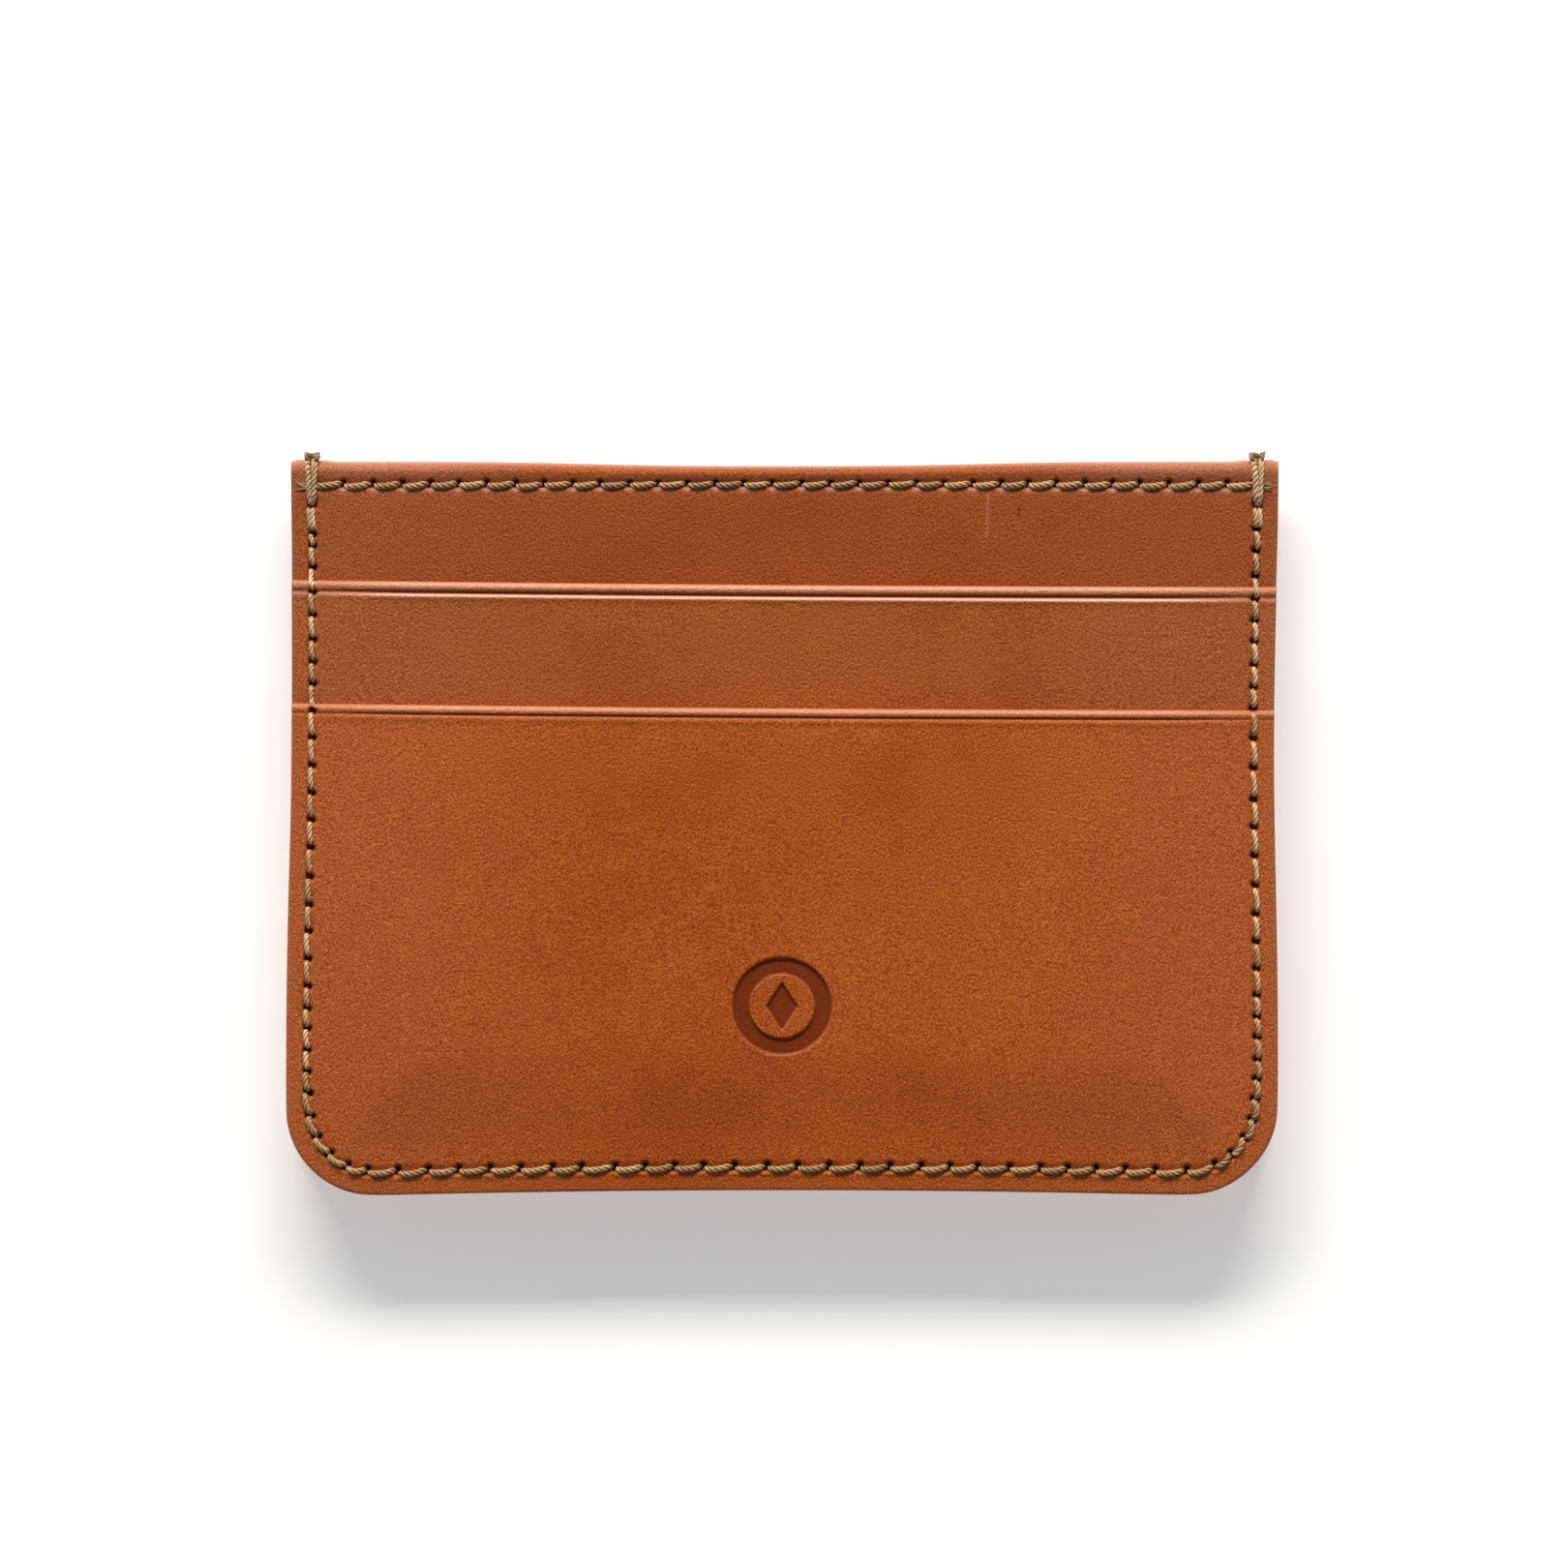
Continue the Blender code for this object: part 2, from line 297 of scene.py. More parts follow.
# A plain ring round a lozenge, pressed into the lower front pocket
MARK_CENTRE = (0.0, TOP - 55.0)
MARK_OUTER, MARK_INNER, MARK_CORE = 5.0, 3.3, 2.0
MARK_DEPTH, MARK_WALL = 0.26, 0.16


def mark_press(x, y):
    """1 on the pressed floor of the mark, 0 outside it, with a short steep wall between."""
    u, v = x - MARK_CENTRE[0], y - MARK_CENTRE[1]
    radius = np.hypot(u, v)
    ring = np.minimum(MARK_OUTER - radius, radius - MARK_INNER)
    lozenge = (MARK_CORE - (np.abs(u) * 1.25 + np.abs(v) * 0.8)) / 1.3
    return smoothstep(np.maximum(ring, lozenge) / MARK_WALL + 0.5)


# Fine marks: the middle, half the length along y, the depth, and how pale, or below 0 how dark
Scratch = namedtuple("Scratch", "x y half_length depth pale")
PANEL_SCRATCHES = (Scratch(20.7, 31.2, 2.1, 0.02, 0.3), Scratch(23.9, 31.4, 0.4, 0.08, -0.9))
LOWER_SCRATCHES = (Scratch(4.3, -19.4, 0.15, 0.03, 1.0),)
SCRATCH_WIDTH, SCRATCH_LEAN = 0.13, 0.03


def scratch_mask(x, y, scratch):
    """1 in the middle of a scratch, 0 off it."""
    beyond = np.maximum(np.abs(y - scratch.y) - scratch.half_length, 0)
    return bump(x - scratch.x - SCRATCH_LEAN * (y - scratch.y), SCRATCH_WIDTH) * bump(beyond, 0.2)


SEAM_SEEDS = {FRONT: 31, REAR: 57}
HEM_SEEDS = {FRONT: 11, REAR: 17}
TAPER_WIDTH = 3.2
WEAR_AND_LIGHT_CAP = 1.4


class Leather:
    """One leather sheet of a half: its outline, its two surfaces and its vertex masks."""

    def __init__(self, side, level, back, rise, top, visible_floor, seed):
        self.side, self.level, self.back, self.rise = side, level, back, rise
        self.top, self.visible_floor, self.seed = top, visible_floor, seed
        self.holes = perimeter_holes(SEAM_SEEDS[side])
        self.hem = even_row(HEM_REACH, HEM_PITCH, HEM_SEEDS[side])
        self.rim = 0.12
        self.crease = None
        self.bead_wear_and_highlight = self.lip_highlight = 0.0
        self.taper = 0.0
        self.scratches = ()
        self.mark = False
        self.hemmed = False

    def base(self, x, y):
        """Heights of the outer face without its sewing, creases and edges."""
        _, d = seam_coords(x, y)
        taper = self.taper * smoothstep((TAPER_WIDTH - d) / TAPER_WIDTH)
        inset = self.top - y
        at_mouth = 1 - 0.25 * np.exp(-np.maximum(inset, 0) / 5.0)
        unevenness = waves(x, y, self.seed) * smoothstep(d / 9)
        return self.level + raised(d, self.rise) * at_mouth + unevenness - taper

    def hem_face(self, x, y):
        """The turned hem: the height added, its holes, its painted highlights and lightened shade, and how
        its fold drops away.
        """
        inset = self.top - y
        relief, hole = stitch_relief(x, y - HEM_ROW, self.hem, 0.16, 0.82, 0.2)
        pillow = 0.12 * bump(inset - 1.1, 0.7)
        # Painted light: a highlight along the crest of the fold, lighter bands that lift the shade beside
        # the row and under the thread, a paler fold towards the corners, and highlights on the raised
        # leather below each hole
        crest = 0.5 * bump(inset - 0.05, 0.22)
        beside_row = 0.13 * bump(inset - 1.75, 0.45) + 0.1 * bump(y - HEM_ROW + 0.6, 0.2)
        near_corners = 0.22 * smoothstep((np.abs(x) - 22) / 16) * bump(inset - 0.7, 0.7)
        below_holes = 0.7 * bump(nearest_offset(x, self.hem), 0.35) * bump(y - HEM_ROW + 0.62, 0.2)
        wear_and_painted_light = crest + beside_row + near_corners + below_holes
        return relief + pillow, hole, wear_and_painted_light, edge_drop(inset, 1.1, 0.7)

    def mouth_face(self, x, y):
        """A creased mouth: the height added, its pressed line with painted shade, its bead rubbed paler and
        painted with a highlight, a painted highlight on the lip below, and how its edge drops.
        """
        inset = self.top - y
        place, _, width = self.crease
        ends = crease_ends(x)
        # The bead is paler as rubbed leather and as a painted highlight; the lip under the crease is a
        # painted highlight
        bead = self.bead_wear_and_highlight * (0.3 + 0.7 * ends) * bump(inset - 0.33 * place, 0.3 * place)
        lip = self.lip_highlight * ends * bump(inset - place - 0.29, 0.16)
        # The crease line is heat-pressed darker, and darkened further as painted shade in its groove
        pressed_and_shaded = 0.9 * ends * bump(inset - place + 0.06, width * 0.9)
        return crease_profile(inset, x, *self.crease), pressed_and_shaded, bead + lip, edge_drop(inset, 0.5, 0.5)

    def front(self, x, y):
        """Heights of the outer face, and how much each point is a hole, pressed and shaded dark, or worn and
        painted with highlights.
        """
        s, d = seam_coords(x, y)
        inward = 0.11 + 0.11 * bottom_share(np.abs(s))
        relief, hole = stitch_relief(s, d - SEAM_INSET, self.holes, 0.16, 0.97, inward)
        z = self.base(x, y) + relief
        pressed_and_shaded = np.zeros_like(z)
        if self.hemmed:
            added, hem_hole, wear_and_painted_light, drop = self.hem_face(x, y)
            hole = np.maximum(hole, hem_hole)
        else:
            added, pressed_and_shaded, wear_and_painted_light, drop = self.mouth_face(x, y)
        z = z + added
        wear_and_painted_light = wear_and_painted_light + 0.25 * bump(d, 0.25)
        if self.mark:
            stamped = mark_press(x, y)
            pressed_and_shaded = np.maximum(pressed_and_shaded, stamped)
            radius = np.hypot(x - MARK_CENTRE[0], y - MARK_CENTRE[1])
            z = z - MARK_DEPTH * stamped + 0.03 * bump(radius - MARK_OUTER - 0.35, 0.3)
        for scratch in self.scratches:
            mask = scratch_mask(x, y, scratch)
            z = z - scratch.depth * mask
            wear_and_painted_light = wear_and_painted_light + max(scratch.pale, 0) * mask
            pressed_and_shaded = np.maximum(pressed_and_shaded, max(-scratch.pale, 0) * mask)
        drop = np.maximum(drop, edge_drop(d, self.rim))
        return z - drop, hole, pressed_and_shaded, np.clip(wear_and_painted_light, 0, WEAR_AND_LIGHT_CAP)

    def rear_face(self, x, y):
        """Heights of the inner face, which nearly reaches the middle plane at a panel's edges."""
        _, d = seam_coords(x, y)
        inset = self.top - y
        taper = self.taper * smoothstep((TAPER_WIDTH - d) / TAPER_WIDTH)
        z = self.base(x, y) - (self.level - self.back) + taper
        if not self.hemmed:
            return z + np.maximum(edge_drop(d, 0.08), edge_drop(inset, 0.12))
        margin = smoothstep((LINING_INSET - 0.05 - d) / 0.3)
        z = z * (1 - margin) + (MEETING + 0.12 * bump(d, 0.2)) * margin
        band = smoothstep((y - (self.top - HEM_BAND)) / 0.3)
        hem_back = MEETING + 0.17 * smoothstep((d - 2.5) / 4) + 0.2 * bump(y - HEM_ROW, 0.3)
        return z * (1 - band) + hem_back * band + edge_drop(inset, 0.6, 0.6)


# Distances in from an edge where a face has points: at its rim, round the seam, at a mouth, in a hem
RIM_OFFSETS = (0.0, 0.04, 0.1, 0.18, 0.3, 0.45, 0.7, 1.0)
SEAM_OFFSETS = tuple(np.arange(1.25, 3.4, 0.13))
MOUTH_OFFSETS = (
    0.0, 0.04, 0.1, 0.18, 0.28, 0.4, 0.52, 0.64, 0.76, 0.86, 0.94, 1.02, 1.1, 1.18, 1.26, 1.34,
    1.42, 1.52, 1.66, 1.85, 2.1, 2.5,
)
FOLD_OFFSETS = (0.0, 0.04, 0.1, 0.18, 0.28, 0.4, 0.55, 0.75, 0.95, 1.15, 1.35)
ROW_OFFSETS = tuple(np.arange(1.5, 3.5, 0.13))
HEM_OFFSETS = FOLD_OFFSETS + ROW_OFFSETS

# Spacing of points: along stitches, along a mouth, in the plain middle, in the mark, out of sight
FINE, MEDIUM, PLAIN, STAMP, HIDDEN, BACK = 0.16, 0.45, 1.1, 0.11, 0.6, 2.2
SEAM_ZONE = SEAM_OFFSETS[-1]
MOUTH_X = np.arange(-(HALF_WIDTH - SEAM_ZONE - 0.3), HALF_WIDTH - SEAM_ZONE - 0.29, MEDIUM)


def at_height(x, y):
    """Points at the places x, all at the height y."""
    return np.c_[x, np.full(len(x), y)]


def seam_stations(sheet, offsets):
    """Places along the seam line, from the top left to the top right, close where the seam shows."""
    near_mouth = side_run(sheet.top) - np.array(offsets)
    floor_run = side_run(sheet.visible_floor) if sheet.visible_floor > CORNER_Y else 0.0
    shown = np.arange(near_mouth[-1] - FINE, floor_run, -FINE)
    hidden = np.arange(min(floor_run, near_mouth[-1]) - HIDDEN, 0.0, -HIDDEN)
    right = np.concatenate([near_mouth, shown, hidden])
    return np.concatenate([-right, [0.0], right[::-1]])


def face_outline(sheet, rim_stations):
    """Down the left side, along the bottom, up the right side and back along the mouth."""
    corner_x = HALF_WIDTH - np.array(RIM_OFFSETS[1:] + SEAM_OFFSETS)
    top_x = np.concatenate([corner_x, MOUTH_X[::-1], -corner_x[::-1]])
    return np.concatenate([np.c_[seam_point(rim_stations, 0.0)], at_height(top_x, sheet.top)])


def middle_points(sheet, mouth_depth):
    """Staggered rows over the plain middle, clear of the seam and of the mark."""
    rows = []
    heights = np.arange(BOTTOM + SEAM_ZONE + 0.6, sheet.top - mouth_depth - 0.5, PLAIN * 0.87)
    for index, y in enumerate(heights):
        row = at_height(np.arange(-HALF_WIDTH, HALF_WIDTH, PLAIN) + (index % 2) * PLAIN / 2, y)
        row = row[seam_coords(*row.T)[1] > SEAM_ZONE + 0.45]
        if sheet.mark:
            row = row[np.hypot(*(row - MARK_CENTRE).T) > MARK_OUTER + 0.9]
        rows.append(row)
    return rows


def detail_points(sheet):
    """Close points over the scratches and the mark."""
    patches = []
    for scratch in sheet.scratches:
        reach = scratch.half_length + 0.3
        u, v = np.meshgrid(np.linspace(-0.3, 0.3, 7), np.arange(-reach, reach + 0.01, 0.15))
        patches.append(np.c_[(u + scratch.x + SCRATCH_LEAN * v).ravel(), (v + scratch.y).ravel()])
    if sheet.mark:
        reach = MARK_OUTER + 0.7
        u, v = np.meshgrid(np.arange(-reach, reach, STAMP), np.arange(-reach, reach, STAMP))
        near = np.hypot(u, v) < reach
        patches.append(np.c_[u[near] + MARK_CENTRE[0], v[near] + MARK_CENTRE[1]])
    return patches


def face_points(sheet):
    """The outline and the points inside it, dense where the outer face has detail."""
    offsets = HEM_OFFSETS if sheet.hemmed else MOUTH_OFFSETS
    stations = seam_stations(sheet, offsets)
    on_rim = np.zeros(len(stations), bool)
    on_rim[:len(offsets)] = on_rim[-len(offsets):] = True
    on_rim[::3] = True
    rim_stations = stations[on_rim]
    shows = np.abs(stations) > side_run(sheet.visible_floor) - 1.0
    if sheet.visible_floor <= CORNER_Y:
        shows[:] = True

    inner = [np.c_[seam_point(rim_stations[1:-1], d)] for d in RIM_OFFSETS[1:]]
    for index, d in enumerate(SEAM_OFFSETS):
        row = np.c_[seam_point(stations[1:-1], d)]
        inner.append(row[shows[1:-1] | (index % 5 == 0)])
    inner += [at_height(MOUTH_X, sheet.top - m) for m in offsets[1:]]
    if sheet.hemmed:
        fine_x = np.arange(MOUTH_X[0], MOUTH_X[-1], FINE)
        inner += [at_height(fine_x, sheet.top - m) for m in ROW_OFFSETS]
    inner += middle_points(sheet, offsets[-1]) + detail_points(sheet)
    return face_outline(sheet, rim_stations), np.concatenate(inner)


def back_points(sheet):
    """Sparse points for the face that nobody sees, with the steps at a panel's edges and hem."""
    inner = []
    clear = LINING_INSET + 0.4 if sheet.hemmed else 0.9
    for y in np.arange(BOTTOM + 1.5, sheet.top - 0.5, BACK):
        row = at_height(np.arange(-HALF_WIDTH + 1.2, HALF_WIDTH - 1.1, BACK), y)
        inner.append(row[seam_coords(*row.T)[1] > clear])
    insets = (0.06, 0.15, 0.3, 0.5)
    if sheet.hemmed:
        insets += (HEM_BAND, HEM_BAND - 0.3)
        reach = side_run(sheet.top - HEM_BAND - 0.4)
        for d in (0.25, LINING_INSET - 0.35, LINING_INSET - 0.03):
            inner.append(np.c_[seam_point(np.arange(-reach, reach, 0.9), d)])
    across = np.arange(-HALF_WIDTH + 0.8, HALF_WIDTH - 0.7, 0.8)
    inner += [at_height(across, sheet.top - m) for m in insets]
    return np.concatenate(inner)


def triangulate(loop, inner):
    """Delaunay triangles over the loop and the points inside it, and where the loop's points are."""
    points = np.concatenate([loop, inner])
    first = np.unique(np.round(points, 5), axis=0, return_index=True)[1]
    points = [Vector(point) for point in points[np.sort(first)]]
    result = delaunay_2d_cdt(points, [], [list(range(len(loop)))], 1, 1e-7)
    verts = np.array([tuple(point) for point in result[0]])
    triangles = np.array([face for face in result[2] if len(face) == 3])
    where = {origin[0]: index for index, origin in enumerate(result[3]) if origin}
    loop_index = np.array([where[index] for index in range(len(loop))])
    a, b, c = (verts[triangles[:, corner]] for corner in range(3))
    area = (b[:, 0] - a[:, 0]) * (c[:, 1] - a[:, 1]) - (c[:, 0] - a[:, 0]) * (b[:, 1] - a[:, 1])
    triangles[area < 0] = triangles[area < 0][:, ::-1]
    return verts, triangles[np.abs(area) > 1e-9], loop_index


def closed_shell(face, face_heights, back, back_heights):
    """One closed mesh from two triangulated faces with the same outline and the wall between them."""
    face_verts, face_triangles, face_loop = face
    back_verts, back_triangles, back_loop = back
    count = len(face_verts)
    verts = np.concatenate([np.c_[face_verts, face_heights], np.c_[back_verts, back_heights]])
    following = np.roll(np.arange(len(face_loop)), -1)
    wall = np.c_[face_loop, back_loop + count, back_loop[following] + count, face_loop[following]]
    back_faces = back_triangles[:, ::-1] + count
    return verts, [*face_triangles.tolist(), *back_faces.tolist(), *wall.tolist()]


# ------------------------ small irregularities of the outline


def settle(x, y):
    """Where a point of the drawn outline lies on the real, slightly uneven holder."""
    across = x / HALF_WIDTH
    left = x < 0

    # The sides draw in at the waist; the left one stays in up to the top, the right one comes out
    waist = np.where(left, 0.55, 0.42) * bump(y - 7, 17)
    top_width = np.where(left, 0.42 * smoothstep((y - 5) / 25), -0.12 * smoothstep((y - 22) / 12))
    new_x = x * (1 - (waist + top_width) / HALF_WIDTH)

    # Up the sides the seam runs a little nearer the edge
    seam_shift = 0.28 * bump(np.abs(x) - TACK_X, 1.2) * smoothstep((y - BOTTOM - 6) / 6)
    new_x = new_x + np.sign(x) * seam_shift

    # The top edge sags in the middle, the bottom edge bows up, and the mouths run slightly downhill
    above_row = smoothstep((y - HEM_ROW + 0.3) / (TOP - HEM_ROW))
    top_sag = (0.48 * above_row - 0.12 * bump(y - HEM_ROW, 2)) * np.exp(-np.abs(x / 23) ** 3)
    bottom_bow = 0.5 * np.clip(1 - (x / 40) ** 2, 0, 1) * smoothstep((BOTTOM + 26 - y) / 26)
    slope = -0.03 - 0.356 * across + 0.16 * across ** 2
    slope = slope * smoothstep((TOP - 1.5 - y) / 9) * smoothstep((y - BOTTOM) / 42)
    new_y = y - top_sag + bottom_bow + slope

    # The bottom corners are a little blunter than round, the right one more
    blunt = np.where(left, 0.12, 0.34) * np.exp(-((np.abs(x) - 47) ** 2 + (y + 34.5) ** 2) / 36)
    new_x = new_x - np.sign(x) * 0.7 * blunt
    new_y = new_y + 0.7 * blunt

    # Each tack pinches the top edge and raises it on both sides
    off_tack = np.abs(x) - TACK_X
    pinch = -0.3 * bump(off_tack, 0.42)
    pinch = pinch + 0.22 * bump(off_tack - 1.3, 0.8) + 0.16 * bump(off_tack + 1.25, 0.75)
    return new_x, new_y + pinch * smoothstep((y - TOP + 2.2) / 2)


# ------------------------ meshes and objects


def make_object(name, verts, faces, side, material, attributes=None):
    """A mesh object from points in millimetres above the middle plane."""
    verts = np.array(verts, float)
    x, y = settle(verts[:, 0], verts[:, 1])
    placed = np.c_[x, y, verts[:, 2] * side + MID] * MM
    mesh = bpy.data.meshes.new(name)
    faces = [tuple(face[::-1]) if side == REAR else tuple(face) for face in faces]
    mesh.from_pydata(placed.tolist(), [], faces)
    mesh.polygons.foreach_set("use_smooth", [True] * len(mesh.polygons))
    for key, values in (attributes or {}).items():
        layer = mesh.attributes.new(key, "FLOAT", "POINT")
        layer.data.foreach_set("value", np.asarray(values, np.float32))
    mesh.materials.append(material)
    mesh.update()
    item = bpy.data.objects.new(name, mesh)
    bpy.context.scene.collection.objects.link(item)
    return item


def attach(item, slot_name, *nodes):
    """Fixes a piece to the body, in place of its CAD nodes."""
    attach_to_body(item, "root")
    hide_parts(*nodes)
    return item


def make_sheet(name, sheet, material):
    """The closed mesh of one leather: a detailed face, a plain back and the edge between them."""
    loop, inner = face_points(sheet)
    face = triangulate(loop, inner)
    back = triangulate(loop, back_points(sheet))
    heights, hole, pressed_and_shaded, wear_and_painted_light = sheet.front(*face[0].T)
    verts, faces = closed_shell(face, heights, back, sheet.rear_face(*back[0].T))
    plain = np.zeros(len(back[0]))
    masks = {"hole": hole, "pressed_and_shaded": pressed_and_shaded, "wear_and_painted_light": wear_and_painted_light}
    masks = {key: np.concatenate([values, plain]) for key, values in masks.items()}
    masks["edge"] = bump(np.maximum(seam_coords(verts[:, 0], verts[:, 1])[1], 0), 0.25)
    return make_object(name, verts, faces, sheet.side, material, attributes=masks)


# ------------------------ threads


def smooth_path(points, count):
    """A Catmull-Rom curve through the points, sampled evenly in its own parameter."""
    points = np.array(points, float)
    padded = np.concatenate([points[:1], points, points[-1:]])
    t = np.linspace(0, len(points) - 1, count)
    index = np.minimum(t.astype(int), len(points) - 2)
    t = (t - index)[:, None]
    p0, p1, p2, p3 = (padded[index + k] for k in range(4))
    return 0.5 * (
        2 * p1 + (p2 - p0) * t + (2 * p0 - 5 * p1 + 4 * p2 - p3) * t ** 2
        + (3 * p1 - p0 - 3 * p2 + p3) * t ** 3
    )


def path_frames(path):
    """Two directions across the path at each point, square to it and to each other."""
    tangent = np.gradient(path, axis=0)
    tangent /= np.linalg.norm(tangent, axis=1, keepdims=True)
    across = np.cross(tangent, [0.0, 0.0, 1.0])
    upright = np.linalg.norm(across, axis=1) < 0.2
    across[upright] = np.nan
    if upright.all():
        across[:] = [1.0, 0.0, 0.0]
    for index in range(1, len(across)):
        if np.isnan(across[index, 0]):
            across[index] = across[index - 1]
    for index in range(len(across) - 2, -1, -1):
        if np.isnan(across[index, 0]):
            across[index] = across[index + 1]
    across -= tangent * np.sum(across * tangent, axis=1, keepdims=True)
    across /= np.linalg.norm(across, axis=1, keepdims=True)
    return across, np.cross(across, tangent)


PLIES = 3
TWIST_PITCH = 1.7
PLY_OFFSET, PLY_RADIUS = 0.55, 0.5
GROOVE_SHADE = 0.42


class ThreadMesh:
    """Collects the plies of many stitches into one mesh."""

    def __init__(self, sides=7):
        self.angles = np.linspace(0, 2 * math.pi, sides, endpoint=False)
        self.verts, self.faces, self.tones, self.count = [], [], [], 0

    def tube(self, path, radius, tone):
        """One closed tube; its radius may vary along it, and its tone from point to point."""
        radius = np.broadcast_to(radius, len(path))
        across, up = path_frames(path)
        cosine, sine = np.cos(self.angles)[None, :, None], np.sin(self.angles)[None, :, None]
        round_path = cosine * across[:, None, :] + sine * up[:, None, :]
        ring = path[:, None, :] + radius[:, None, None] * round_path
        shape = ring.shape[:2]
        grid = np.arange(shape[0] * shape[1]).reshape(shape) + self.count
        beside = np.roll(grid, -1, axis=1)
        quads = np.stack([grid[:-1], grid[1:], beside[1:], beside[:-1]], axis=-1).reshape(-1, 4)
        self.verts.append(ring.reshape(-1, 3))
        self.faces += quads.tolist() + [grid[0].tolist(), grid[-1][::-1].tolist()]
        self.tones.append(np.broadcast_to(tone, shape).ravel())
        self.count += grid.size

    def twisted(self, path, radius, phase, tone):
        """Plies wound round each other along the path, right-handed, with painted shade in the grooves."""
        across, up = path_frames(path)
        steps = np.linalg.norm(np.diff(path, axis=0), axis=1)
        length = np.concatenate([[0], np.cumsum(steps)])
        radius = np.broadcast_to(radius, len(path))
        for ply in range(PLIES):
            turn = phase + 2 * math.pi * (ply / PLIES + length / TWIST_PITCH)
            offset = np.cos(turn)[:, None] * across - np.sin(turn)[:, None] * up
            outward = np.cos(self.angles[None, :] + turn[:, None])
            shade = tone + 0.1 * (ply - 1) + GROOVE_SHADE * outward - 0.22
            self.tube(path + offset * radius[:, None] * PLY_OFFSET, radius * PLY_RADIUS, shade)

    def build(self, name, side, material):
        """The mesh object of all the tubes so far."""
        verts, tones = np.concatenate(self.verts), np.concatenate(self.tones)
        return make_object(name, verts, self.faces, side, material, attributes={"tone": tones})


BELOW_ALL = -9.0


def visible_height(sheets, x, y):
    """Height of the topmost leather of a half at each point, without its stitch holes."""
    heights = np.full(np.shape(x), BELOW_ALL)
    for sheet in sheets:
        inset = sheet.top - y
        edge = (0.75, 0.6) if sheet.hemmed else (0.5, 0.5)
        z = sheet.base(x, y) - edge_drop(np.maximum(inset, 0), *edge)
        heights = np.maximum(heights, np.where(inset > 0, z, BELOW_ALL))
    return heights


# One stitch: the share of its length, the sway across the row and the height in thread radii
STITCH_PARTS = np.array([0.05, 0.085, 0.17, 0.35, 0.6, 0.79, 0.885, 0.925])
STITCH_ACROSS = np.array([0.02, -0.03, -0.12, -0.13, -0.02, 0.13, 0.21, 0.24])
STITCH_LIFT = np.array([-2.6, -0.9, 0.2, 0.45, 0.45, 0.2, -0.9, -2.8])
STITCH_SEGMENTS = 25

# How a row is sewn: the thread's radius, how deep it sinks, its sway, the gap at the holes, and its tone
# lift, a painted highlight
Sewing = namedtuple("Sewing", "radius sink sway gap bright")


def stitch(mesh, line, start, end, sewing, sheets, random):
    """One stitch from hole to hole: out of the leather, along its surface and down again."""
    along = start + (end - start) * (0.5 + (STITCH_PARTS - 0.5) * (1 - sewing.gap))
    wobble = 0.035 * random.standard_normal(2)
    across = sewing.sway * STITCH_ACROSS + np.interp(along, [start, end], wobble)
    x, y = line(along, across)
    fine = np.linspace(start, end, 24)
    surface = visible_height(sheets, *line(fine, np.zeros_like(fine)))
    smooth = np.convolve(np.pad(surface, 3, mode="edge"), np.ones(7) / 7, mode="valid")
    surface = np.interp(along, fine, np.maximum(smooth, surface - 0.15))
    heights = surface + sewing.radius * STITCH_LIFT - sewing.sink
    path = smooth_path(np.c_[x, y, heights], STITCH_SEGMENTS)
    plump = sewing.radius * (0.86 + 0.14 * np.sin(np.linspace(0, math.pi, STITCH_SEGMENTS)))
    phase = random.uniform(0, 2 * math.pi)
    mesh.twisted(path, plump, phase, sewing.bright + random.uniform(-0.25, 0.25))


def fibre(mesh, points, radius, tone):
    """One loose fibre of a frayed end."""
    path = smooth_path(points, 8)
    mesh.tube(path, radius * np.linspace(1, 0.5, 8), tone)


def seam_line(strand):
    """Places along the seam, for a strand that lies that much inside the holes."""
    return lambda s, across: seam_point(s, SEAM_INSET + (across + strand))


def hem_line(x, across):
    """Places along the hem row."""
    return x, HEM_ROW + across


DOUBLED_STRANDS = (-0.24, 0.2)


def perimeter_stitches(side, sheets):
    """The seam round the sides and bottom of one face, doubled where it meets the tacks."""
    random = np.random.default_rng(7 if side == FRONT else 8)
    seam = ThreadMesh()
    holes = sheets[0].holes
    for index, (start, end) in enumerate(zip(holes[:-1], holes[1:])):
        low = bottom_share(abs(start + end) / 2)
        doubled = index in (0, len(holes) - 2)
        radius = THREAD_RADIUS * (0.67 + 0.13 * low) * (0.92 if doubled else 1)
        # Painted highlight: the stitches up the sides get their tone lifted, so they read brighter
        sewing = Sewing(radius, 0.2 - 0.02 * low, 0.45 + 0.5 * low, 0.17 - 0.13 * low, 0.5 * (1 - low))
        for strand in (DOUBLED_STRANDS if doubled else (0.0,)):
            stitch(seam, seam_line(strand), start, end, sewing, sheets, random)
    return seam


